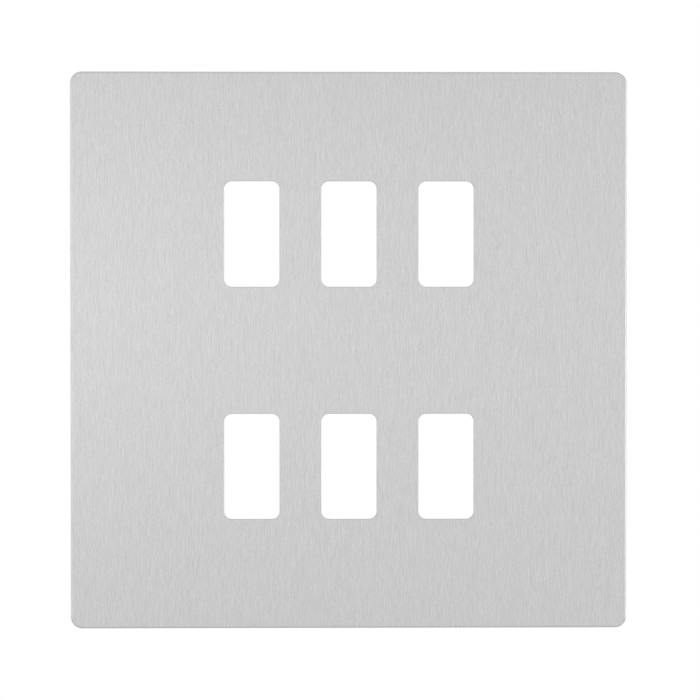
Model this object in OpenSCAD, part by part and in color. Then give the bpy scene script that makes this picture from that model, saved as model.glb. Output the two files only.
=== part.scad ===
// Screwless grid switch plate for a flush wall box, six gangs in two rows of three.
// X runs across the plate and Z up it. The face looks along -Y, and the wall is the plane Y = 0.
// Each piece is drawn lying on its back, with its depth from the wall as Z, and is stood up at the end.

/* [Face plate] */
// Width of the face plate
plate_w = 146; // [144:1:154]
// Height of the face plate
plate_h = 146; // [144:1:154]
// Thickness of the stainless sheet
plate_t = 1.5; // [1:0.1:3]
// Radius of the plate's four corners
plate_corner_r = 3; // [2:0.5:8]
// Radius polished onto the front edge all round
plate_edge_r = 0.5; // [0.2:0.05:0.9]

/* [Apertures] */
// Columns of apertures: three make six gangs and four make eight
columns = 3; // [3:1:4]
// Distance between the columns
column_pitch = 25.5; // [24:0.1:26]
// Width of an aperture
aperture_w = 14.5; // [12:0.5:16]
// Height of an aperture
aperture_h = 27.7; // [24:0.1:30]
// Corner radius of an aperture
aperture_r = 2; // [1:0.25:4]
// Chamfer that breaks an aperture's front edge
aperture_edge = 0.1; // [0.05:0.05:0.4]

/* [Clip liner] */
// How far the liner's outline lies inside the plate's
liner_inset = 1.2; // [0.6:0.1:1.6]
// Thickness of the liner's skin
liner_t = 1; // [0.8:0.1:1.6]
// Gap from the skin's back to the front of the grid frame
liner_gap = 1.5; // [1.2:0.1:3]
// Width of the rim that stands round the liner's back
rim_w = 3.2; // [2.6:0.1:3.6]
// Gap from the rim's end to the wall
rim_gap = 0.6; // [0.4:0.05:0.8]
// How far a liner aperture stands back from the plate's aperture
collar_gap = 0.3; // [0.2:0.05:0.6]
// Wall of the collar round each aperture
collar_wall = 1.2; // [0.8:0.1:1.8]
// Lead-in chamfer at a collar's back end
collar_lead = 0.4; // [0.2:0.05:0.6]
// Thickness of the stiffening ribs
rib_t = 1; // [0.8:0.1:1.6]
// Gap from the ribs and collars to the front of the grid frame
rib_gap = 0.2; // [0.1:0.05:0.5]
// Radius of the pads that rest on the grid frame
pad_r = 2; // [1.5:0.1:2.5]
// Width of the pry slot under the plate's lower edge
pry_w = 10; // [8:0.5:14]
// Depth of the pry slot into the rim
pry_depth = 2.4; // [1.8:0.1:2.5]
// Height of the pry slot behind the plate
pry_h = 1.2; // [1:0.1:1.4]

/* [Wall gasket] */
// Depth of the gasket's groove in the rim
groove_depth = 0.5; // [0.3:0.05:0.7]
// Wall of the rim on each side of the groove
groove_wall = 0.6; // [0.5:0.05:0.8]
// Clearance between the gasket and the groove's walls
gasket_play = 0.1; // [0.05:0.05:0.2]

/* [Snap hooks] */
// Width of a hook
hook_w = 7; // [5:0.5:8]
// Thickness of a hook's arm
hook_t = 1.1; // [0.9:0.1:1.4]
// How far a hook's nose stands out from its arm
hook_catch = 0.85; // [0.6:0.05:1]
// Clearance between a hook and the grid frame
hook_play = 0.15; // [0.1:0.05:0.3]
// Flat length of a hook's nose
hook_flat = 0.3; // [0.2:0.05:0.6]
// Length of the lead-in slope on a hook's nose
hook_lead = 1.7; // [1.2:0.1:2.2]
// Fillet at a hook's root
hook_root = 0.7; // [0.4:0.1:1]
// Clearance on each side of a hook in its slot
hook_side_play = 0.5; // [0.3:0.1:1]

/* [Grid frame] */
// Thickness of the pressed sheet
frame_t = 1; // [0.8:0.1:1.2]
// How far the frame's sides lie inside the plate's
frame_side = 5.5; // [5.2:0.1:6]
// How far the frame's top and bottom lie inside the plate's
frame_end = 9; // [8.4:0.1:9.6]
// Corner radius of the frame
frame_corner_r = 4; // [2:0.5:6]
// Width of the bars above and below the two module bays
end_bar = 9; // [8:0.5:11]
// Width of the bar between the two module bays
middle_bar = 12; // [11:0.5:14]
// Flat strip between a screw's pocket and the module bay's folded lip
side_strip = 2.15; // [1:0.05:4]
// Corner radius of a module bay
bay_r = 1.5; // [0.5:0.25:2]
// Inside radius of every bend
bend_r = 0.4; // [0.3:0.05:0.5]
// Cut that frees the ends of a folded lip
bend_relief = 1; // [0.6:0.1:1.6]
// Depth of the hook windows behind the wall plane
catch_depth = 3.6; // [3:0.1:5]
// Strip of lip left behind the hook windows
lip_web = 1.4; // [1:0.1:2.5]
// Depth of the lips at the ends of the module bays
bay_lip_h = 3; // [2:0.1:5]
// Width of a locating notch
notch_w = 2.2; // [1.6:0.1:3]
// Depth of a locating notch
notch_d = 1.1; // [0.6:0.1:1.4]

/* [Box screws] */
// How far the fixing screws lie inside the frame's sides
fixing_side = 7.2; // [6.8:0.1:7.6]
// Distance between the fixing screws up the plate
fixing_h = 60.3; // [59:0.1:61]
// Diameter of a screw
screw_d = 3.5; // [3:0.1:4]
// Length of a screw under its head
screw_l = 25; // [18:0.5:40]
// Diameter of a screw's plain neck under its head
neck_d = 3; // [2.4:0.1:3]
// Diameter of a screw's head
head_d = 6.8; // [6.4:0.1:7]
// Height of a screw's head
head_h = 2.2; // [2:0.1:2.6]
// Travel that the slots leave for levelling the frame
level_travel = 3; // [2:0.1:5]
// Clearance between a screw and its slot
slot_play = 0.35; // [0.2:0.05:0.5]
// Clearance round a screw's head in its pocket
pocket_play = 0.7; // [0.5:0.05:0.8]

/* [Earth contact] */
// Thickness of the contact leaf
leaf_t = 0.3; // [0.2:0.05:0.4]
// Width of the contact leaf
leaf_w = 5; // [4:0.25:6]
// Length of the leaf's flat foot
leaf_foot = 5; // [4.6:0.1:6]
// Slope of the leaf in degrees
leaf_slope = 30; // [26:1:38]
// Inside radius of the bend at the leaf's foot
leaf_foot_r = 0.8; // [0.5:0.1:1.2]
// Inside radius of the leaf's crown
leaf_crown_r = 1.5; // [1:0.1:2]
// Length of the leaf's tail
leaf_tail = 1.2; // [0.8:0.1:1.6]
// Radius of the rivet's shank
rivet_r = 1; // [0.8:0.05:1.2]

/* [Earth terminal] */
// Width of the terminal block
block_w = 14; // [13:0.5:16]
// Height of the terminal block
block_h = 9.5; // [8.5:0.25:9.75]
// Depth of the terminal block
block_d = 8; // [7.4:0.1:10]
// Radius of the wire bore
wire_r = 1.6; // [1.2:0.05:1.8]
// Radius of the clamp screw
clamp_r = 1.75; // [1.5:0.05:2]
// Distance between the block's two peened pegs
peg_pitch = 10; // [9:0.25:11]
// Radius of a peg
peg_r = 1; // [0.8:0.05:1.1]

/* [Hidden] */
$fn = 64;

// Depths from the wall plane, towards the front
skin_back = frame_t + liner_gap;
plate_back = skin_back + liner_t;
rib_end = frame_t + rib_gap;
gasket_top = rim_gap + groove_depth;
// Extra length that carries a cutter past a face
over = 1;
// Flat length of sheet drawn beyond a bend, inside the sheet that it joins
lap = 0.5;
// Clearance of a peg or a screw in its hole
fit_play = 0.05;

// Clip liner
liner_w = plate_w - 2*liner_inset;
liner_h = plate_h - 2*liner_inset;
liner_r = plate_corner_r - liner_inset;
least_r = 0.3;

// Screw heads in their pockets
head_sink = 0.2;
pocket_d = head_h + head_sink;
pocket_r = head_d/2 + pocket_play;
seat = frame_t - pocket_d;

// Grid frame, whose bays take what the bars, the pockets and the bends leave
frame_w = plate_w - 2*frame_side;
frame_h = plate_h - 2*frame_end;
bend_out = bend_r + frame_t;
fixing_w = frame_w - 2*fixing_side;
bay_w = fixing_w - 2*(pocket_r + 2*bend_out + side_strip);
bay_h = (frame_h - 2*end_bar - middle_bar)/2;
row_pitch = bay_h + middle_bar;
lip_w = frame_w - 2*(frame_corner_r + bend_relief);
bay_lip_w = bay_h - 2*(bay_r + bend_relief) - 2*notch_d;
notches = floor((bay_w/2 - bay_r - notch_w)/(column_pitch/2));
pad_x = (bay_w/2 + frame_w/2)/2;
pad_y = frame_h/2 - bend_out - 3*pad_r;
bar_pad_x = bay_w/2 - 3*pad_r;

// Snap hooks, each standing just inside the lip that it catches
hook_x = 2.5*column_pitch/2;
hook_y = frame_h/2 - frame_t;
hook_slot = hook_t + hook_catch + 2*hook_play;
hook_gap_w = hook_w + 2*hook_side_play;
catch_h = hook_flat + hook_lead + 2*hook_play;
lip_h = catch_depth + catch_h + lip_web;

// Screws
head_edge = 0.35*head_h;
drive_w = 0.8;
drive_l = 0.55*head_d;
drive_d = 0.6*head_h;
tip_l = 0.3*screw_d;
neck_l = frame_t + 0.6;

// Contact leaf, whose slope is as long as its rise to the plate's back needs
leaf_gap = 0.05;
leaf_rise = plate_back - leaf_gap - frame_t;
leaf_turn = 1 - cos(leaf_slope);
leaf_run = (leaf_rise - leaf_t - (leaf_crown_r + leaf_foot_r + leaf_t)*leaf_turn)/sin(leaf_slope);
leaf_reach = leaf_foot + (leaf_foot_r + leaf_t + 2*leaf_crown_r)*sin(leaf_slope)
    + (leaf_run + leaf_tail)*cos(leaf_slope);
window_play = 1;
rivet_x = (leaf_foot - leaf_reach)/2;
rivet_head_r = 1.7*rivet_r;
rivet_head_h = 0.55*rivet_r;

// Earth terminal and contact leaf, each midway between two columns
earth_x = column_pitch*(columns/2 - 1);
block_r = 0.6;
bore_depth = block_d/2 + 0.6;
peg_head_r = 1.5*peg_r;
peg_head_h = 0.4;
clamp_play = 0.4;
clamp_sink = 0.1;
clamp_top = frame_t - clamp_sink;
clamp_tip = wire_r - bore_depth + clamp_sink;

function column_x(i) = (i - (columns - 1)/2)*column_pitch;

// Turns a piece that was drawn lying on its back so that it stands on the wall
module stand() {
    rotate([90, 0, 0]) children();
}

// One place for each aperture
module at_apertures() {
    for (i = [0:columns - 1], side = [-1, 1])
        translate([column_x(i), side*row_pitch/2, 0]) children();
}

// One place for each snap hook, with X outwards from the lip's inner face
module at_hooks() {
    for (x = [-1, 1], y = [-1, 1])
        translate([x*hook_x, y*hook_y, 0]) rotate(90*y) children();
}

// The place of one box screw, counted from the top left
module at_fixing(i) {
    translate([(i % 2 == 1 ? -1 : 1)*fixing_w/2, (i <= 2 ? 1 : -1)*fixing_h/2, 0]) children();
}

// Rectangle with round corners, centred
module round_rect(w, h, r) {
    square([w - 2*r, h], center = true);
    square([w, h - 2*r], center = true);
    for (x = [-1, 1], y = [-1, 1])
        translate([x*(w/2 - r), y*(h/2 - r)]) circle(r);
}

// Slot with round ends, running up the plate
module stadium(r, travel) {
    square([2*r, travel], center = true);
    for (y = [-1, 1])
        translate([0, y*travel/2]) circle(r);
}

// Slab with its edge section, drawn outwards from the corner's centre, carried round a rounded rectangle
module edged_slab(w, h, r, depth) {
    translate([r - w/2, r - h/2, 0]) cube([w - 2*r, h - 2*r, depth]);
    for (turn = [0:3]) {
        across = turn % 2 == 0 ? w/2 - r : h/2 - r;
        along = turn % 2 == 0 ? h/2 - r : w/2 - r;
        rotate(90*turn) translate([across, along, 0]) {
            rotate([90, 0, 0]) linear_extrude(2*along) children();
            rotate_extrude(angle = 90) children();
        }
    }
}

// Strip of sheet drawn step by step: [length, 0] runs straight on, and [inside radius, 1 or -1] turns a corner
module bent_strip(steps, t, i = 0) {
    if (i < len(steps)) {
        size = steps[i][0];
        turn = steps[i][1];
        centre = turn > 0 ? t + size : -size;
        if (turn == 0) {
            square([size, t]);
            translate([size, 0]) bent_strip(steps, t, i + 1);
        } else translate([0, centre]) {
            intersection() {
                difference() {
                    circle(size + t);
                    circle(size);
                }
                translate([0, turn > 0 ? -size - t : 0]) square(size + t);
            }
            rotate(90*turn) translate([0, -centre]) bent_strip(steps, t, i + 1);
        }
    }
}

// Hole through a plate that lies from z = 0 to t, with a chamfer round its front edge
module punched_hole(w, h, r, t, chamfer) {
    translate([0, 0, -over]) edged_slab(w, h, r, t + 2*over)
        polygon([[0, 0], [r, 0], [r, t + over - chamfer], [r + over + chamfer, t + 2*over], [0, t + 2*over]]);
}

// Face plate: brushed stainless sheet with a polished edge and punched apertures
module face_plate() {
    color("#cdcdcd") stand() translate([0, 0, plate_back]) difference() {
        edged_slab(plate_w, plate_h, plate_corner_r, plate_t) {
            square([plate_corner_r, plate_t - plate_edge_r]);
            square([plate_corner_r - plate_edge_r, plate_t]);
            translate([plate_corner_r - plate_edge_r, plate_t - plate_edge_r]) circle(plate_edge_r);
        }
        at_apertures() punched_hole(aperture_w, aperture_h, aperture_r, plate_t, aperture_edge);
    }
}

// Outline of the liner, drawn in by an inset
module liner_outline(inset = 0) {
    round_rect(liner_w - 2*inset, liner_h - 2*inset, max(liner_r - inset, least_r));
}

// Hook that springs over the lip: an arm with a nose, standing on the skin's back
module snap_hook() {
    face = -hook_play;
    nose = face + hook_catch;
    catch = -catch_depth - hook_play;
    rotate([90, 0, 0]) linear_extrude(hook_w, center = true) polygon([
        [face, skin_back], [face, catch], [nose, catch], [nose, catch - hook_flat],
        [face, catch - hook_flat - hook_lead], [face - hook_t, catch - hook_flat - hook_lead],
        [face - hook_t, skin_back - hook_root], [face - hook_t - hook_root, skin_back]
    ]);
}

// Opening in the skin over a hook's nose, where the mould's core stood
module core_window() {
    translate([-hook_play, -hook_w/2]) square([hook_catch + hook_play, hook_w]);
}

// Clip liner: moulded backing with rim, collars, ribs, pads and hooks
module clip_liner() {
    hole_w = aperture_w + 2*collar_gap;
    hole_h = aperture_h + 2*collar_gap;
    hole_r = aperture_r + collar_gap;
    hole_t = plate_back - rib_end;
    color("#232426") stand() {
        difference() {
            union() {
                translate([0, 0, skin_back]) linear_extrude(liner_t) difference() {
                    liner_outline();
                    at_hooks() core_window();
                    translate([-earth_x, 0])
                        square([leaf_reach + 2*window_play, leaf_w + 2*window_play], center = true);
                }
                translate([0, 0, rim_gap]) linear_extrude(skin_back - rim_gap) difference() {
                    liner_outline();
                    liner_outline(rim_w);
                }
                translate([0, 0, rib_end]) linear_extrude(skin_back - rib_end) {
                    at_apertures()
                        round_rect(hole_w + 2*collar_wall, hole_h + 2*collar_wall, hole_r + collar_wall);
                    for (i = [0:columns - 1])
                        translate([column_x(i), 0]) square([rib_t, liner_h - 2*rim_w], center = true);
                    for (side = [-1, 1])
                        translate([0, side*row_pitch/2]) square([liner_w - 2*rim_w, rib_t], center = true);
                }
                translate([0, 0, frame_t]) linear_extrude(skin_back - frame_t)
                    for (x = [-1, 1]) {
                        for (y = [-1, 1])
                            translate([x*pad_x, y*pad_y]) circle(pad_r);
                        translate([x*bar_pad_x, 0]) circle(pad_r);
                    }
            }
            at_apertures() translate([0, 0, rib_end - over])
                edged_slab(hole_w, hole_h, hole_r, hole_t + 2*over)
                    polygon([
                        [0, 0], [hole_r + over + collar_lead, 0], [hole_r, over + collar_lead],
                        [hole_r, hole_t + 2*over], [0, hole_t + 2*over]
                    ]);
            translate([0, 0, rim_gap - over]) linear_extrude(groove_depth + over) difference() {
                liner_outline(groove_wall);
                liner_outline(rim_w - groove_wall);
            }
            translate([-pry_w/2, -liner_h/2 - over, plate_back - pry_h])
                cube([pry_w, pry_depth + over, pry_h + over]);
        }
        at_hooks() snap_hook();
    }
}

// Wall gasket: foam ring seated in the rim's groove
module wall_gasket() {
    color("#3a3b3d") stand() linear_extrude(gasket_top) difference() {
        liner_outline(groove_wall + gasket_play);
        liner_outline(rim_w - groove_wall - gasket_play);
    }
}

// Lip folded back along an edge of the sheet, with X outwards from where its bend starts
module folded_lip(length, depth) {
    translate([-lap, 0, 0]) rotate([90, 0, 0]) linear_extrude(length, center = true)
        bent_strip([[lap, 0], [bend_r, -1], [depth - bend_r, 0]], frame_t);
}

// Pocket embossed into the sheet, its section turned at both ends and drawn straight between them
module embossed_pocket() {
    difference() {
        for (end = [0, 180]) rotate(end) {
            translate([0, level_travel/2, 0]) {
                rotate_extrude(angle = 180) pocket_section();
                rotate([90, 0, 0]) linear_extrude(level_travel) pocket_section();
            }
        }
        translate([0, 0, -pocket_d - over]) linear_extrude(frame_t + 2*over)
            stadium(screw_d/2 + slot_play, level_travel);
    }
}

// Half of the pocket's section: floor, bend, wall and the bend back into the sheet
module pocket_section() {
    translate([0, -pocket_d]) bent_strip([
        [pocket_r - bend_r, 0], [bend_r, 1], [pocket_d - frame_t - 2*bend_r, 0], [bend_r, -1], [lap, 0]
    ], frame_t);
}

// Flat blank of the grid frame
module frame_blank() {
    difference() {
        round_rect(frame_w, frame_h, frame_corner_r);
        for (side = [-1, 1]) {
            translate([0, side*frame_h/2]) square([lip_w + 2*bend_relief, 2*bend_out], center = true);
            translate([0, side*row_pitch/2]) {
                round_rect(bay_w, bay_h, bay_r);
                square([bay_w + 2*bend_out, bay_lip_w + 2*bend_relief], center = true);
                for (i = [-notches:notches])
                    translate([i*column_pitch/2, 0]) square([notch_w, bay_h + 2*notch_d], center = true);
            }
        }
        for (i = [1:4])
            at_fixing(i) stadium(pocket_r + bend_out, level_travel);
        translate([rivet_x - earth_x, 0]) circle(rivet_r + fit_play);
        translate([earth_x, 0]) {
            circle(clamp_r + clamp_play);
            for (x = [-1, 1])
                translate([x*peg_pitch/2, 0]) circle(peg_r + fit_play);
        }
    }
}

// Grid frame: pressed zinc-plated sheet that carries the modules and the front
module grid_frame() {
    color("#b9bcbd") stand() difference() {
        union() {
            linear_extrude(frame_t) frame_blank();
            for (side = [-1, 1]) {
                translate([0, side*(frame_h/2 - bend_out), 0]) rotate(90*side) folded_lip(lip_w, lip_h);
                for (row = [-1, 1])
                    translate([side*(bay_w/2 + bend_out), row*row_pitch/2, 0]) rotate(90 + 90*side)
                        folded_lip(bay_lip_w, bay_lip_h);
            }
            for (i = [1:4])
                at_fixing(i) embossed_pocket();
        }
        at_hooks() {
            translate([-hook_slot, -hook_gap_w/2, -over]) cube([hook_slot, hook_gap_w, frame_t + 2*over]);
            translate([-over, -hook_gap_w/2, -catch_depth - catch_h])
                cube([frame_t + 2*over, hook_gap_w, catch_h]);
        }
    }
}

// Points along an arc from one angle to another
function arc(centre, r, from, to, steps = 10) =
    [for (i = [0:steps]) centre + r*[cos(from + (to - from)*i/steps), sin(from + (to - from)*i/steps)]];

// Section of the leaf: foot, bend, slope, crown and tail, first its back face and then its front face
module leaf_section() {
    slope = [cos(leaf_slope), sin(leaf_slope)];
    below = [slope[1], -slope[0]];
    foot_centre = [leaf_foot, leaf_t + leaf_foot_r];
    crown = foot_centre + (leaf_foot_r + leaf_t + leaf_crown_r)*below + leaf_run*slope;
    tail = leaf_tail*[slope[0], -slope[1]];
    end = 90 - leaf_slope;
    polygon(concat(
        [[0, 0]],
        arc(foot_centre, leaf_foot_r + leaf_t, -90, -end),
        arc(crown, leaf_crown_r, 180 - end, end),
        [crown + leaf_crown_r*[cos(end), sin(end)] + tail,
            crown + (leaf_crown_r + leaf_t)*[cos(end), sin(end)] + tail],
        arc(crown, leaf_crown_r + leaf_t, end, 180 - end),
        arc(foot_centre, leaf_foot_r, -end, -90),
        [[0, leaf_t]]
    ));
}

// Earth spring: bronze leaf whose crown bears on the back of the face plate
module earth_spring() {
    color("#b8793f") stand() difference() {
        translate([-earth_x - leaf_reach/2, leaf_w/2, frame_t])
            rotate([90, 0, 0]) linear_extrude(leaf_w) leaf_section();
        translate([rivet_x - earth_x, 0, 0]) cylinder(r = rivet_r + fit_play, h = plate_back);
    }
}

// Spring rivet: shank through leaf and frame with a head formed on each side
module spring_rivet() {
    color("#c9c9c6") stand() translate([rivet_x - earth_x, 0, 0]) {
        cylinder(r = rivet_r, h = frame_t + leaf_t);
        translate([0, 0, frame_t + leaf_t]) domed_head(rivet_head_r, rivet_head_h, 0.3*rivet_head_h);
        rotate([180, 0, 0]) domed_head(rivet_head_r, rivet_head_h, 0.3*rivet_head_h);
    }
}

// Round head with a straight edge below a shallow dome
module domed_head(r, h, edge) {
    crown = h - edge;
    dome_r = (r*r + crown*crown)/(2*crown);
    rotate_extrude() intersection() {
        square([r, h]);
        translate([0, h - dome_r]) circle(dome_r);
    }
}

// Earth terminal: brass block behind the middle bar, held by two peened pegs
module earth_terminal() {
    color("#c9a348") stand() translate([earth_x, 0, 0]) {
        difference() {
            translate([0, 0, -block_d]) linear_extrude(block_d) round_rect(block_w, block_h, block_r);
            translate([0, 0, -bore_depth]) rotate([90, 0, 0])
                cylinder(r = wire_r, h = block_h + 2*over, center = true);
            translate([0, 0, -bore_depth]) cylinder(r = clamp_r + fit_play, h = bore_depth + over);
        }
        for (x = [-1, 1]) translate([x*peg_pitch/2, 0, 0]) {
            cylinder(r = peg_r, h = frame_t);
            translate([0, 0, frame_t]) cylinder(r1 = peg_head_r, r2 = peg_r, h = peg_head_h);
        }
    }
}

// Earth clamp screw: headless screw, backed off so that the wire bore is open
module earth_clamp_screw() {
    length = clamp_top - clamp_tip;
    point = 0.35*clamp_r;
    color("#c2b27a") stand() translate([earth_x, 0, clamp_tip]) difference() {
        union() {
            cylinder(r1 = clamp_r - point, r2 = clamp_r, h = point);
            translate([0, 0, point]) cylinder(r = clamp_r, h = length - point);
        }
        translate([-clamp_r - over, -drive_w/2, length - 1.2*drive_w])
            cube([2*(clamp_r + over), drive_w, 1.2*drive_w + over]);
    }
}

// Box screw: pan head with a cross slot, seated in its pocket, with the shank out behind
module box_screw(i) {
    color("#c4c6c4") stand() at_fixing(i) translate([0, 0, seat]) {
        difference() {
            domed_head(head_d/2, head_h, head_edge);
            for (turn = [0, 90]) rotate(turn)
                translate([-drive_l/2, -drive_w/2, head_h - drive_d]) cube([drive_l, drive_w, drive_d + over]);
        }
        translate([0, 0, -neck_l]) cylinder(d = neck_d, h = neck_l);
        translate([0, 0, tip_l - screw_l]) cylinder(d = screw_d, h = screw_l - tip_l - neck_l);
        translate([0, 0, -screw_l]) cylinder(d1 = 0.6*screw_d, d2 = screw_d, h = tip_l);
    }
}

face_plate();
clip_liner();
wall_gasket();
grid_frame();
earth_spring();
spring_rivet();
earth_terminal();
earth_clamp_screw();
for (i = [1:4])
    box_screw(i);
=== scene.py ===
"""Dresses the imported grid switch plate: brushed stainless front, moulded liner, foam gasket,
plated grid frame, earth contact, earth terminal and box screws."""
import math

import bmesh
import bpy
import numpy as np
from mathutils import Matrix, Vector


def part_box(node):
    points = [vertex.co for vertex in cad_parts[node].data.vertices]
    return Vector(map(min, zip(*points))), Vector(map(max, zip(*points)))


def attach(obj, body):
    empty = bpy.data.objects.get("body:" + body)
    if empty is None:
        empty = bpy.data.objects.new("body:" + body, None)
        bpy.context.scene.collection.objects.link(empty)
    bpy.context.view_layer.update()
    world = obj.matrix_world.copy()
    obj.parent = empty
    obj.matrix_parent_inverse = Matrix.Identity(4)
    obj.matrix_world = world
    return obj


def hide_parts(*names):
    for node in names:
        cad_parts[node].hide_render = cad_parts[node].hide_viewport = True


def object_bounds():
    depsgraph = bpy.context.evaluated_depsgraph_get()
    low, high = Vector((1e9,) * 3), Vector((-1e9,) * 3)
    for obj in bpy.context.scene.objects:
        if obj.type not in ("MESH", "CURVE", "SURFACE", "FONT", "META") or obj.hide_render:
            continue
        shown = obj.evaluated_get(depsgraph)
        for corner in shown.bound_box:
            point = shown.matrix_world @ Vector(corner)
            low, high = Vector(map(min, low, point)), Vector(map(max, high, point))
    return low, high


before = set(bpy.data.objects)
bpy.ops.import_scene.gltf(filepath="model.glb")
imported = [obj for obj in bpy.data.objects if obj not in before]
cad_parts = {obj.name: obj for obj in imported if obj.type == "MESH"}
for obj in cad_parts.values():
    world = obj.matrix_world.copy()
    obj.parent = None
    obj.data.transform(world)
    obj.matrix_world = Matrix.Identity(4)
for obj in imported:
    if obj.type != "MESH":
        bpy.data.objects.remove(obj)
cad_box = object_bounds()


# Camera: a long lens that looks almost square at the plate, from a degree above it and to its left.
# The plate's top and left edges so come out 0.3 percent longer than its other two.
distance = 0.85
to_left, to_above = math.radians(1.14), math.radians(1.08)
aim_right, aim_up = 0.00025, 0.00008
# What the picture's width takes in at the plate's face
view_w = 0.18365
sensor_w = 36
aim = Vector((aim_right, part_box("face_plate")[0].y, aim_up))
towards = Vector((-math.sin(to_left), -math.cos(to_left) * math.cos(to_above),
                  math.sin(to_above))).normalized()
camera = bpy.data.objects.new("camera", bpy.data.cameras.new("camera"))
camera.location = aim + distance * towards
camera.rotation_euler = (-towards).to_track_quat("-Z", "Y").to_euler()
camera.data.sensor_width = sensor_w
camera.data.lens = sensor_w * distance / view_w
camera.data.clip_start = 0.05
bpy.context.scene.collection.objects.link(camera)
bpy.context.scene.camera = camera


# Face plate: a sheet of austenitic stainless steel, blanked and punched.
# Its face is ground with a fine belt up and down, and its outer edge is polished to a small radius.
def linear(colour):
    """An sRGB hex colour as linear RGBA: a channel c is c/12.92 up to 0.04045, and above it
    ((c + 0.055)/1.055) to the power 2.4."""
    c = np.array([int(colour[i:i + 2], 16) for i in (1, 3, 5)]) / 255
    return (*np.where(c <= 0.04045, c / 12.92, ((c + 0.055) / 1.055) ** 2.4).tolist(), 1.0)


def add(tree, kind, values={}, links={}, **settings):
    """Adds one node, with its settings, its values by socket, and its links by socket, each from a
    (node, output)."""
    made = tree.nodes.new(kind)
    for key, value in settings.items():
        setattr(made, key, value)
    for key, value in values.items():
        made.inputs[key].default_value = value
    for key, (source, output) in links.items():
        tree.links.new(source.outputs[output], made.inputs[key])
    return made


def finish_of(name, values):
    """A new material, with its node tree, its surface shader and its Object coordinates."""
    made = bpy.data.materials.new(name)
    made.use_nodes = True
    shader = made.node_tree.nodes["Principled BSDF"]
    for key, value in values.items():
        shader.inputs[key].default_value = value
    return made, made.node_tree, shader, add(made.node_tree, "ShaderNodeTexCoord")


def dress(node_name, made):
    """Gives a CAD node one material."""
    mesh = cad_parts[node_name].data
    mesh.materials.clear()
    mesh.materials.append(made)


# Brushed stainless steel, belt-ground: grey, a little rough, and streaked with scratches that are
# 0.05 to 0.1 mm wide and up to 5 mm long, some short and some long. They are drawn 0.13 mm wide, the
# finest that still shows. Each groove has a burr beside it that shines the other way, and the
# reflection is softer across the scratches than along them.
brushed, tree, shader, place = finish_of(
    "brushed_stainless_steel", {"Metallic": 1.0, "Roughness": 0.36, "Anisotropic": 0.6})
scratch_w, scratch_depth, short_l, long_l = 0.00013, 0.0004, 0.0005, 0.0028
burr_aside, burr_share = 0.00026, 0.28
# The grain adds up each length of scratch, less a share of the same pattern one burr aside
grain = None
for scratch_l in (short_l, long_l):
    for aside, share in ((0, 1), (burr_aside, -burr_share)):
        stretched = add(
            tree, "ShaderNodeMapping",
            {"Location": (aside / scratch_w, 0, 0),
             "Scale": (1 / scratch_w, 1 / scratch_depth, 1 / scratch_l)},
            {"Vector": (place, "Object")})
        scratches = add(tree, "ShaderNodeTexNoise", {"Scale": 1.0, "Detail": 1.0},
                        {"Vector": (stretched, "Vector")})
        so_far = {2: (grain, "Value")} if grain else {}
        grain = add(tree, "ShaderNodeMath", {1: share, 2: 0},
                    {0: (scratches, "Fac"), **so_far}, operation="MULTIPLY_ADD")
grain_middle, grain_reach = 1 - burr_share, 0.375
tone = add(tree, "ShaderNodeMapRange",
           {"From Min": grain_middle - grain_reach, "From Max": grain_middle + grain_reach},
           {"Value": (grain, "Value")})
colour = add(tree, "ShaderNodeMix", {6: linear("#b3b3b3"), 7: linear("#cbcbcb")},
             {0: (tone, "Result")}, data_type="RGBA")
tree.links.new(colour.outputs[2], shader.inputs["Base Color"])
relief = add(tree, "ShaderNodeBump", {"Strength": 0.25, "Distance": 0.00002},
             {"Height": (grain, "Value")})
tree.links.new(relief.outputs["Normal"], shader.inputs["Normal"])
dress("face_plate", brushed)


# Clip liner: one moulding in black ABS, bonded to the back of the face plate.
# It carries the collars, ribs, rim and snap hooks, and ejector pins left round marks on its back.
# ABS, moulded against a spark-eroded tool: near black, dull, with a fine even pimple of about 0.3 mm
# and paler rubbed places some centimetres apart.
moulded, tree, shader, place = finish_of("moulded_black_abs", {"Roughness": 0.5, "IOR": 1.53})
pimple_w, rubbed_w = 0.0003, 0.02
pimple = add(tree, "ShaderNodeTexNoise", {"Scale": 1 / pimple_w, "Detail": 1.0},
             {"Vector": (place, "Object")})
rubbed = add(tree, "ShaderNodeTexNoise", {"Scale": 1 / rubbed_w, "Detail": 4.0, "Roughness": 0.6},
             {"Vector": (place, "Object")})
worn = add(tree, "ShaderNodeMath", {1: 0.5}, {0: (pimple, "Fac"), 2: (rubbed, "Fac")},
           operation="MULTIPLY_ADD")
tone = add(tree, "ShaderNodeMapRange", {"From Min": 0.62, "From Max": 0.98},
           {"Value": (worn, "Value")})
colour = add(tree, "ShaderNodeMix", {6: linear("#1b1c1e"), 7: linear("#2d2e30")},
             {0: (tone, "Result")}, data_type="RGBA")
tree.links.new(colour.outputs[2], shader.inputs["Base Color"])
dull = add(tree, "ShaderNodeMapRange", {"To Min": 0.56, "To Max": 0.4}, {"Value": (rubbed, "Fac")})
tree.links.new(dull.outputs["Result"], shader.inputs["Roughness"])
relief = add(tree, "ShaderNodeBump", {"Strength": 0.8, "Distance": 0.0001},
             {"Height": (pimple, "Fac")})
tree.links.new(relief.outputs["Normal"], shader.inputs["Normal"])
dress("clip_liner", moulded)


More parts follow.
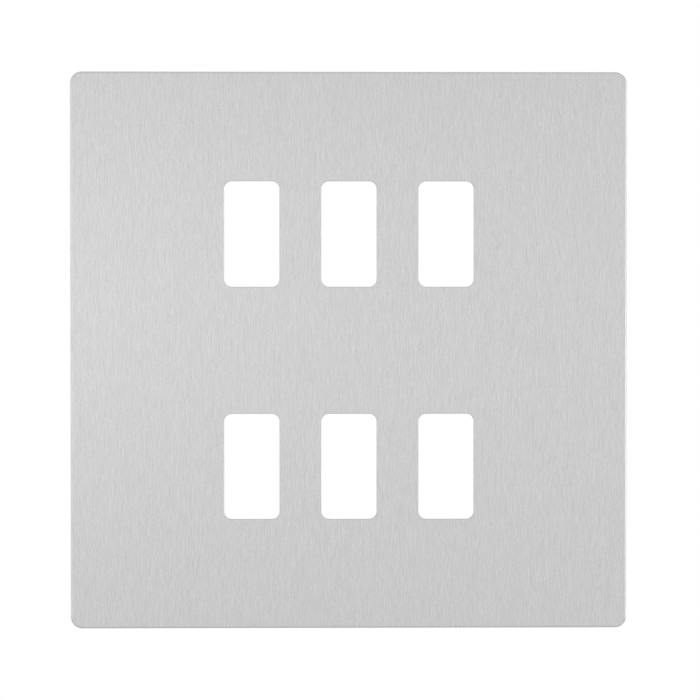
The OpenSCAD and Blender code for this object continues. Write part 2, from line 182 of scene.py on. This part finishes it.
def mesh_of(name, points, faces, crease=35):
    """A new mesh object at the origin from points in metres and faces, its doubles merged and its
    empty faces dropped, smooth except where faces meet at more than the crease angle in degrees."""
    mesh = bpy.data.meshes.new(name)
    mesh.from_pydata(np.asarray(points, float).reshape(-1, 3).tolist(), [], faces)
    work = bmesh.new()
    work.from_mesh(mesh)
    bmesh.ops.remove_doubles(work, verts=work.verts, dist=1e-7)
    bmesh.ops.dissolve_degenerate(work, edges=work.edges, dist=1e-7)
    bmesh.ops.recalc_face_normals(work, faces=work.faces)
    work.to_mesh(mesh)
    work.free()
    mesh.polygons.foreach_set("use_smooth", [True] * len(mesh.polygons))
    mesh.set_sharp_from_angle(angle=math.radians(crease))
    made = bpy.data.objects.new(name, mesh)
    bpy.context.scene.collection.objects.link(made)
    return made


def ring_faces(rings, sides, closed=False):
    """Quads from each ring of a grid to the next, each ring closing on itself. With closed, the last
    ring also joins the first."""
    i, j = np.meshgrid(np.arange(rings if closed else rings - 1), np.arange(sides), indexing="ij")
    up, on = (i + 1) % rings, (j + 1) % sides
    quads = np.stack([i * sides + j, i * sides + on, up * sides + on, up * sides + j], -1)
    return quads.reshape(-1, 4).tolist()


# The pin marks: shallow round lands 3 mm across, each with a fine witness ridge round it. One mark is
# a lathed profile of radius and height over the skin's back, closed inside the skin. A ring of
# point_r merges to a point.
skin_t = 0.001
skin_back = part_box("face_plate")[1].y + skin_t
mark_sides, point_r = 32, 1e-9
mark_r = np.array([0.0, 1.55, 1.5, 1.42, 1.38, 0.0]) / 1000 + point_r
mark_height = np.array([-0.2, -0.2, 0.07, 0.07, 0.03, 0.03]) / 1000
turn = np.linspace(0, 2 * math.pi, mark_sides, endpoint=False)
one_mark = np.stack([mark_r[:, None] * np.cos(turn), np.repeat(mark_height[:, None], mark_sides, 1),
                     mark_r[:, None] * np.sin(turn)], -1)
spots = np.array([(x, skin_back, z) for x in (-0.0435, -0.01275, 0.01275, 0.0435)
                  for z in (-0.0425, -0.0185, 0.0185, 0.0425)])
all_marks = one_mark[None] + spots[:, None, None, :]
mark_faces = np.array(ring_faces(len(mark_r), mark_sides))
mark_starts = len(mark_r) * mark_sides * np.arange(len(spots))
faces = (mark_faces[None] + mark_starts[:, None, None]).reshape(-1, 4).tolist()
marks = mesh_of("liner_ejector_marks", all_marks, faces)
marks.data.materials.append(moulded)
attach(marks, "root")


# Wall gasket: closed-cell polyethylene foam, cut as one ring and pressed into the groove of the
# liner's rim. The knife leaves its edges a little rounded and its cells open.
low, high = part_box("wall_gasket")
strip_w, strip_depth, cut_r = 0.0018, high.y - low.y, 0.00022
corner_r, least_r = 0.0011, 0.00005
corner_steps, cut_steps = 9, 4
quarter = math.pi / 2
# Path: the ring's outline, with each corner turned about its own centre
centres = [(high.x - corner_r, high.z - corner_r), (low.x + corner_r, high.z - corner_r),
           (low.x + corner_r, low.z + corner_r), (high.x - corner_r, low.z + corner_r)]
bend = np.linspace(0, quarter, corner_steps)
path = np.concatenate([np.stack([cx + corner_r * np.cos(bend + k * quarter),
                                 cz + corner_r * np.sin(bend + k * quarter)], -1)
                       for k, (cx, cz) in enumerate(centres)])
outwards = np.concatenate([np.stack([np.cos(bend + k * quarter), np.sin(bend + k * quarter)], -1)
                           for k in range(4)])
# Section: a rectangle with rounded corners, as a distance inwards and a depth
bend = np.linspace(0, quarter, cut_steps)
section = np.concatenate([np.stack([a + cut_r * np.cos(bend + k * quarter),
                                    b + cut_r * np.sin(bend + k * quarter)], -1)
                          for k, (a, b) in enumerate([(strip_w - cut_r, strip_depth - cut_r),
                                                      (cut_r, strip_depth - cut_r),
                                                      (cut_r, cut_r), (strip_w - cut_r, cut_r)])])
inwards = np.clip(section[:, 0], 0, strip_w)
# The section goes inwards to the corner's centre, less least_r, and from there along the diagonal, so
# that the inner corner is sharp and no faces cross
turned = np.minimum(inwards, corner_r - least_r)
diagonal = np.array([[(1 if cx > 0 else -1), (1 if cz > 0 else -1)]
                     for cx, cz in centres]).repeat(corner_steps, 0)
points = np.zeros((len(section), len(path), 3))
for axis, column in ((0, 0), (2, 1)):
    points[..., axis] = path[None, :, column] - outwards[None, :, column] * turned[:, None] \
        - diagonal[None, :, column] * (inwards - turned)[:, None]
points[..., 1] = low.y + section[:, 1][:, None]
gasket = mesh_of("foam_gasket", points, ring_faces(len(section), len(path), closed=True))

# Polyethylene foam, cut: charcoal, dull, with cells of about 0.35 mm that the knife opened, each
# painted darker towards its deepest middle as painted shade in its hollow
foam, tree, shader, place = finish_of("cut_polyethylene_foam", {"Roughness": 0.92, "IOR": 1.5})
cell_w = 0.00035
cells = add(tree, "ShaderNodeTexVoronoi", {"Scale": 1 / cell_w}, {"Vector": (place, "Object")})
# Painted shade: each cell is darkest at its middle, the bottom of its hollow, and paler at its rim
colour = add(tree, "ShaderNodeMix", {6: linear("#202122"), 7: linear("#404143")},
             {0: (cells, "Distance")}, data_type="RGBA")
tree.links.new(colour.outputs[2], shader.inputs["Base Color"])
relief = add(tree, "ShaderNodeBump", {"Strength": 0.8, "Distance": 0.00012},
             {"Height": (cells, "Distance")})
tree.links.new(relief.outputs["Normal"], shader.inputs["Normal"])
gasket.data.materials.append(foam)
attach(gasket, "root")
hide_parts("wall_gasket")


# Grid frame: 1 mm cold-rolled steel, blanked, embossed and folded in a press, then zinc plated.
# Its lips take the front's hooks, and its notched bays take the switch modules.
# Bright zinc plate with a clear passivate: a cool pale grey, a little cloudy over about 10 mm, over
# the faint lines that rolling left in the sheet along its width.
plated, tree, shader, place = finish_of("bright_zinc_plate", {"Metallic": 1.0, "Roughness": 0.34})
cloud_w, rolled_l, rolled_w = 0.011, 0.006, 0.0003
clouds = add(tree, "ShaderNodeTexNoise", {"Scale": 1 / cloud_w, "Detail": 2.0},
             {"Vector": (place, "Object")})
stretched = add(tree, "ShaderNodeMapping", {"Scale": (1 / rolled_l, 1 / rolled_w, 1 / rolled_w)},
                {"Vector": (place, "Object")})
rolled = add(tree, "ShaderNodeTexNoise", {"Scale": 1.0, "Detail": 2.0},
             {"Vector": (stretched, "Vector")})
both = add(tree, "ShaderNodeMath", {1: 0.35}, {0: (rolled, "Fac"), 2: (clouds, "Fac")},
           operation="MULTIPLY_ADD")
tone = add(tree, "ShaderNodeMapRange", {"From Min": 0.45, "From Max": 0.9},
           {"Value": (both, "Value")})
colour = add(tree, "ShaderNodeMix", {6: linear("#acb1b5"), 7: linear("#babfc2")},
             {0: (tone, "Result")}, data_type="RGBA")
tree.links.new(colour.outputs[2], shader.inputs["Base Color"])
dull = add(tree, "ShaderNodeMapRange", {"To Min": 0.29, "To Max": 0.39}, {"Value": (clouds, "Fac")})
tree.links.new(dull.outputs["Result"], shader.inputs["Roughness"])
relief = add(tree, "ShaderNodeBump", {"Strength": 0.15, "Distance": 0.00002},
             {"Height": (rolled, "Fac")})
tree.links.new(relief.outputs["Normal"], shader.inputs["Normal"])
dress("grid_frame", plated)


# Earth spring: a leaf of hard phosphor bronze, cropped from rolled strip and formed in one stroke.
# Its crown bears on the back of the face plate and earths it through the frame.
# Phosphor bronze, rolled: warm red-brown metal with fine lines along the strip and a first dull
# tarnish, in spots of about 2 mm.
bronze, tree, shader, place = finish_of("rolled_phosphor_bronze",
                                        {"Metallic": 1.0, "Roughness": 0.3})
strip_line_l, strip_line_w, tarnish_w = 0.004, 0.00015, 0.002
stretched = add(tree, "ShaderNodeMapping",
                {"Scale": (1 / strip_line_l, 1 / strip_line_l, 1 / strip_line_w)},
                {"Vector": (place, "Object")})
strip_lines = add(tree, "ShaderNodeTexNoise", {"Scale": 1.0, "Detail": 2.0},
                  {"Vector": (stretched, "Vector")})
tarnish = add(tree, "ShaderNodeTexNoise", {"Scale": 1 / tarnish_w, "Detail": 3.0},
              {"Vector": (place, "Object")})
colour = add(tree, "ShaderNodeMix", {6: linear("#b77a4a"), 7: linear("#cf9765")},
             {0: (tarnish, "Fac")}, data_type="RGBA")
tree.links.new(colour.outputs[2], shader.inputs["Base Color"])
relief = add(tree, "ShaderNodeBump", {"Strength": 0.2, "Distance": 0.00002},
             {"Height": (strip_lines, "Fac")})
tree.links.new(relief.outputs["Normal"], shader.inputs["Normal"])
dress("earth_spring", bronze)


# Spring rivet: a solid steel rivet, zinc plated, set cold through the leaf and the frame.
# Setting left its formed heads a little frosted.
# Zinc plate over cold-formed steel: pale grey with a fine frosted pebble of about 0.1 mm.
riveted, tree, shader, place = finish_of("cold_formed_zinc_plate",
                                         {"Metallic": 1.0, "Roughness": 0.38})
frost_w = 0.00012
frost = add(tree, "ShaderNodeTexNoise", {"Scale": 1 / frost_w, "Detail": 2.0},
            {"Vector": (place, "Object")})
colour = add(tree, "ShaderNodeMix", {6: linear("#aeb1b2"), 7: linear("#cfd0cf")},
             {0: (frost, "Fac")}, data_type="RGBA")
tree.links.new(colour.outputs[2], shader.inputs["Base Color"])
relief = add(tree, "ShaderNodeBump", {"Strength": 0.3, "Distance": 0.00002},
             {"Height": (frost, "Fac")})
tree.links.new(relief.outputs["Normal"], shader.inputs["Normal"])
dress("spring_rivet", riveted)


# Earth terminal: free-cutting brass, sawn from drawn bar, drilled for the wire and tapped for its
# screw. Two pegs on its front pass through the frame and are peened over.
# Machined brass: a pale yellow metal with drawn lines along the bar's depth, saw marks about 0.3 mm
# apart across its back, and duller patches from handling.
brass, tree, shader, place = finish_of("machined_brass", {"Metallic": 1.0, "Roughness": 0.3})
drawn_l, drawn_w, saw_pitch, handled_w = 0.005, 0.00015, 0.0003, 0.003
stretched = add(tree, "ShaderNodeMapping", {"Scale": (1 / drawn_w, 1 / drawn_l, 1 / drawn_w)},
                {"Vector": (place, "Object")})
drawn = add(tree, "ShaderNodeTexNoise", {"Scale": 1.0, "Detail": 2.0},
            {"Vector": (stretched, "Vector")})
# A wave's bands lie 0.314 over its scale apart
sawn = add(tree, "ShaderNodeTexWave",
           {"Scale": 0.314 / saw_pitch, "Distortion": 1.2, "Detail": 2.0, "Detail Scale": 0.6},
           {"Vector": (place, "Object")}, bands_direction="Z")
handled = add(tree, "ShaderNodeTexNoise", {"Scale": 1 / handled_w, "Detail": 4.0},
              {"Vector": (place, "Object")})
cuts = add(tree, "ShaderNodeMath", {1: 0.5}, {0: (sawn, "Fac"), 2: (drawn, "Fac")},
           operation="MULTIPLY_ADD")
both = add(tree, "ShaderNodeMath", {1: 0.35}, {0: (cuts, "Value"), 2: (handled, "Fac")},
           operation="MULTIPLY_ADD")
tone = add(tree, "ShaderNodeMapRange", {"From Min": 0.4, "From Max": 1.15},
           {"Value": (both, "Value")})
colour = add(tree, "ShaderNodeMix", {6: linear("#a38f5a"), 7: linear("#cdba82")},
             {0: (tone, "Result")}, data_type="RGBA")
tree.links.new(colour.outputs[2], shader.inputs["Base Color"])
dull = add(tree, "ShaderNodeMapRange", {"To Min": 0.27, "To Max": 0.42},
           {"Value": (handled, "Fac")})
tree.links.new(dull.outputs["Result"], shader.inputs["Roughness"])
relief = add(tree, "ShaderNodeBump", {"Strength": 0.35, "Distance": 0.00003},
             {"Height": (cuts, "Value")})
tree.links.new(relief.outputs["Normal"], shader.inputs["Normal"])
dress("earth_terminal", brass)


# Earth clamp screw: a slotted headless steel screw in the terminal, backed off to open the wire bore.
# It is zinc plated with a yellow passivate.
# Yellow passivate: straw-coloured metal with a faint iridescence that wanders over a millimetre.
passivated, tree, shader, place = finish_of("yellow_passivated_zinc",
                                            {"Metallic": 1.0, "Roughness": 0.3})
film_w = 0.0012
film = add(tree, "ShaderNodeTexNoise", {"Scale": 1 / film_w, "Detail": 2.0},
           {"Vector": (place, "Object")})
colour = add(tree, "ShaderNodeMix", {6: linear("#c3a96a"), 7: linear("#c9bd92")},
             {0: (film, "Fac")}, data_type="RGBA")
tree.links.new(colour.outputs[2], shader.inputs["Base Color"])
relief = add(tree, "ShaderNodeBump", {"Strength": 0.15, "Distance": 0.00002},
             {"Height": (film, "Fac")})
tree.links.new(relief.outputs["Normal"], shader.inputs["Normal"])
dress("earth_clamp_screw", passivated)


# Box screws: four M3.5 x 25 pan head steel screws, cold headed, thread rolled and zinc plated.
# Each sits in its embossed pocket and runs back into a lug of the wall box.
thread_r, root_r, pitch = 0.00175, 0.00144, 0.0006
neck_r, neck_l, shank_l = 0.0015, 0.0016, 0.025
tip_r = 0.6 * thread_r
head_r, head_h, head_edge = 0.0034, 0.0022, 0.00077
columns, rows = 40, 8


def rolled_thread():
    """Points and faces of the shank, from its tip at depth shank_l to the head's seat at depth 0.

    Each row of the grid is a helix of one phase of the tooth, so the height over the tip is
    pitch*(row/rows + column/columns - 1), cut off at both ends. The radius is the root plus a
    rounded tooth of that phase. The tip's cone and the neck under the head cut it down.
    """
    tooth_top, tooth_fall, tip_slope, run_out = 1.35, 2.9, 1.1, 1.5 * pitch
    row = np.arange(int((shank_l / pitch + 1) * rows) + 2)[:, None]
    column = np.arange(columns)[None, :]
    height = np.clip(pitch * (row / rows + column / columns - 1), 0, shank_l)
    tooth = np.clip(tooth_top - tooth_fall * np.abs((row / rows) % 1 - 0.5), 0, 1)
    radius = root_r + (thread_r - root_r) * tooth + 0 * height
    radius = np.minimum(radius, tip_r + tip_slope * height)
    below_neck = shank_l - neck_l - height
    blend = np.clip(below_neck / run_out, 0, 1)
    radius = neck_r + (radius - neck_r) * blend
    angle = 2 * math.pi * column / columns + 0 * height
    points = np.stack([radius * np.cos(angle), shank_l - height, radius * np.sin(angle)], -1)
    i, j = np.meshgrid(np.arange(len(row) - 1), np.arange(columns), indexing="ij")
    on = (j + 1) % columns
    # The last column joins the first a whole turn up
    shift = np.where(j == columns - 1, rows, 0)
    keep = i + 1 + shift < len(row)
    quads = np.stack([i * columns + j, (i + shift) * columns + on, (i + 1 + shift) * columns + on,
                      (i + 1) * columns + j], -1)[keep]
    tip = list(range(columns))
    seat = [(len(row) - 1) * columns + k for k in range(columns)]
    return points.reshape(-1, 3), quads.tolist() + [tip, seat[::-1]]


def recessed_head():
    """Points and faces of the pan head, as rings from its seat round its edge and over its dome into
    the recess.

    A ring is a circle, the outline of the cross, or a blend of the two. The cross is, at an angle t
    from a wing's middle, the lesser of half its length over cos t and half its width over sin t, and
    never less than its round core. The dome is a sphere's cap: its height at a radius r is the head's
    height, less the sphere's radius, plus the root of that radius squared less r squared.
    """
    wing_half_l, wing_half_w, core_r = 0.00187, 0.0004, 0.00078
    seat_round, edge_round = 0.00015, 0.0001
    lip_w, lip_drop, recess_l = 0.00008, 0.00005, 0.00155
    # Half of a quarter turn, closest where a wing's end meets its side
    octant = np.radians([0, 5, 10, 12.1, 14, 18, 25, 35])
    quarter = math.pi / 2
    angle = np.sort(np.concatenate([np.concatenate([
        k * quarter + octant, (k + 1) * quarter - octant[:0:-1], [k * quarter + quarter / 2]])
        for k in range(4)]))
    t = np.abs((angle + quarter / 2) % quarter - quarter / 2)
    cross = np.minimum(wing_half_l / np.cos(t), wing_half_w / np.maximum(np.sin(t), 1e-6))
    cross = np.maximum(cross, core_r)
    crown = head_h - head_edge
    dome_r = (head_r ** 2 + crown ** 2) / (2 * crown)

    def dome(r):
        return head_h - dome_r + np.sqrt(dome_r ** 2 - r ** 2)

    circle = np.ones_like(angle)
    rings = [(neck_r * circle, 0 * circle), ((head_r - seat_round) * circle, 0 * circle),
             (head_r * circle, seat_round * circle),
             (head_r * circle, (head_edge - edge_round) * circle)]
    for share in (0.02, 0.12, 0.3, 0.5, 0.7, 0.85, 0.97):
        r = (1 - share) * head_r * circle + share * (cross + lip_w)
        rings.append((r, dome(r)))
    rings.append((cross, dome(cross) - lip_drop))
    for share, depth in ((0.97, 0.0003), (0.8, 0.001), (0.7, 0.00125)):
        rings.append((share * cross, (head_h - depth) * circle))
    rings.append((0 * circle + point_r, (head_h - recess_l) * circle))
    r, height = (np.array(a) for a in zip(*rings))
    points = np.stack([r * np.cos(angle), -height, r * np.sin(angle)], -1)
    faces = ring_faces(len(rings), len(angle)) + [list(range(len(angle)))]
    return points.reshape(-1, 3), faces


# Bright zinc over cold-headed steel: cool pale grey with dull spots of about a millimetre, where the
# screws rubbed together in the plating barrel
screw_zinc, tree, shader, place = finish_of("barrel_zinc_plate",
                                            {"Metallic": 1.0, "Roughness": 0.26})
barrel_rub_w = 0.0009
rubs = add(tree, "ShaderNodeTexNoise", {"Scale": 1 / barrel_rub_w, "Detail": 3.0},
           {"Vector": (place, "Object")})
colour = add(tree, "ShaderNodeMix", {6: linear("#a4aaae"), 7: linear("#c6cacc")},
             {0: (rubs, "Fac")}, data_type="RGBA")
tree.links.new(colour.outputs[2], shader.inputs["Base Color"])
dull = add(tree, "ShaderNodeMapRange", {"To Min": 0.2, "To Max": 0.42}, {"Value": (rubs, "Fac")})
tree.links.new(dull.outputs["Result"], shader.inputs["Roughness"])
relief = add(tree, "ShaderNodeBump", {"Strength": 0.15, "Distance": 0.00001},
             {"Height": (rubs, "Fac")})
tree.links.new(relief.outputs["Normal"], shader.inputs["Normal"])

shank, shank_faces = rolled_thread()
head, head_faces = recessed_head()
# Each screw stopped at its own angle in degrees, as a hand-driven screw does
stops = {1: 12, 2: 67, 3: 35, 4: -18}
for number, stop in stops.items():
    low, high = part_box(f"box_screw_{number}")
    centre = np.array([(low.x + high.x) / 2, high.y - shank_l, (low.z + high.z) / 2])
    stop = math.radians(stop)
    spin = np.array([[math.cos(stop), 0, math.sin(stop)], [0, 1, 0],
                     [-math.sin(stop), 0, math.cos(stop)]])
    points = np.concatenate([shank, head]) @ spin.T + centre
    faces = shank_faces + [[k + len(shank) for k in f] for f in head_faces]
    screw = mesh_of(f"threaded_box_screw_{number}", points, faces)
    screw.data.materials.append(screw_zinc)
    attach(screw, "root")
    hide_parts(f"box_screw_{number}")


# Studio floor: a disc of matt white paper, well below the plate, which hangs in the air.
# It keeps the plate's soft shadow, and it fades into the white of the room at its rim.
floor_drop, floor_sides = 0.35, 96
floor_z = cad_box[0].z - floor_drop
floor_r = np.array([point_r, 0.5, 1.1])
turn = np.linspace(0, 2 * math.pi, floor_sides, endpoint=False)
points = np.stack([floor_r[:, None] * np.cos(turn), floor_r[:, None] * np.sin(turn),
                   np.full((len(floor_r), floor_sides), floor_z)], -1)
floor = mesh_of("paper_floor", points, ring_faces(len(floor_r), floor_sides))
paper, tree, shader, place = finish_of("white_paper",
                                       {"Base Color": linear("#f4f4f4"), "Roughness": 0.9})
from_middle = add(tree, "ShaderNodeVectorMath", links={0: (place, "Object")}, operation="LENGTH")
fade = add(tree, "ShaderNodeMapRange", {"From Min": 0.45, "From Max": 1.0},
           {"Value": (from_middle, "Value")})
room = add(tree, "ShaderNodeEmission", {"Color": (1, 1, 1, 1), "Strength": 1.0})
blend = add(tree, "ShaderNodeMixShader", {},
            {0: (fade, "Result"), 1: (shader, "BSDF"), 2: (room, "Emission")})
tree.links.new(blend.outputs[0], tree.nodes["Material Output"].inputs["Surface"])
floor.data.materials.append(paper)


# Studio light: an even white room, which metal and the lens see as plain white, and soft boxes that
# give the plate its form.
world = bpy.data.worlds.new("white_room")
bpy.context.scene.world = world
world.use_nodes = True
tree = world.node_tree
ray = add(tree, "ShaderNodeLightPath")
seen = add(tree, "ShaderNodeMath", {}, {0: (ray, "Is Camera Ray"), 1: (ray, "Is Glossy Ray")},
           operation="MAXIMUM")
seen = add(tree, "ShaderNodeMath", {}, {0: (seen, "Value"), 1: (ray, "Is Transmission Ray")},
           operation="MAXIMUM")
strength = add(tree, "ShaderNodeMapRange", {"To Min": 0.8, "To Max": 1.0},
               {"Value": (seen, "Value")})
tree.links.new(strength.outputs["Result"], tree.nodes["Background"].inputs["Strength"])
tree.nodes["Background"].inputs["Color"].default_value = (1, 1, 1, 1)


def soft_box(name, location, width, height, watts):
    """A rectangular area lamp, turned to the middle of the plate, with its sizes in metres."""
    lamp = bpy.data.lights.new(name, "AREA")
    lamp.shape, lamp.size, lamp.size_y, lamp.energy = "RECTANGLE", width, height, watts
    made = bpy.data.objects.new(name, lamp)
    made.location = location
    made.rotation_euler = (Vector((0, 0, 0)) - Vector(location)).to_track_quat("-Z", "Y").to_euler()
    bpy.context.scene.collection.objects.link(made)


soft_box("front_strip", (0, -1.3, 0), 1.2, 0.25, 0.1)
soft_box("left_strip", (-0.5, -1.25, 0.02), 0.6, 0.14, 0.48)
soft_box("left_box", (-0.9, -0.9, 0), 0.5, 0.4, 0.38)
soft_box("right_box", (0.9, -0.9, 0), 0.5, 0.4, 0.8)
soft_box("left_wing", (-1.2, -0.25, 0), 0.5, 0.8, 0.7)
soft_box("right_wing", (1.2, -0.25, 0), 0.5, 0.8, 2.3)
soft_box("rear_box", (0.9, 1.2, 0.9), 0.9, 0.9, 6)

bpy.context.scene.view_settings.view_transform = "Standard"
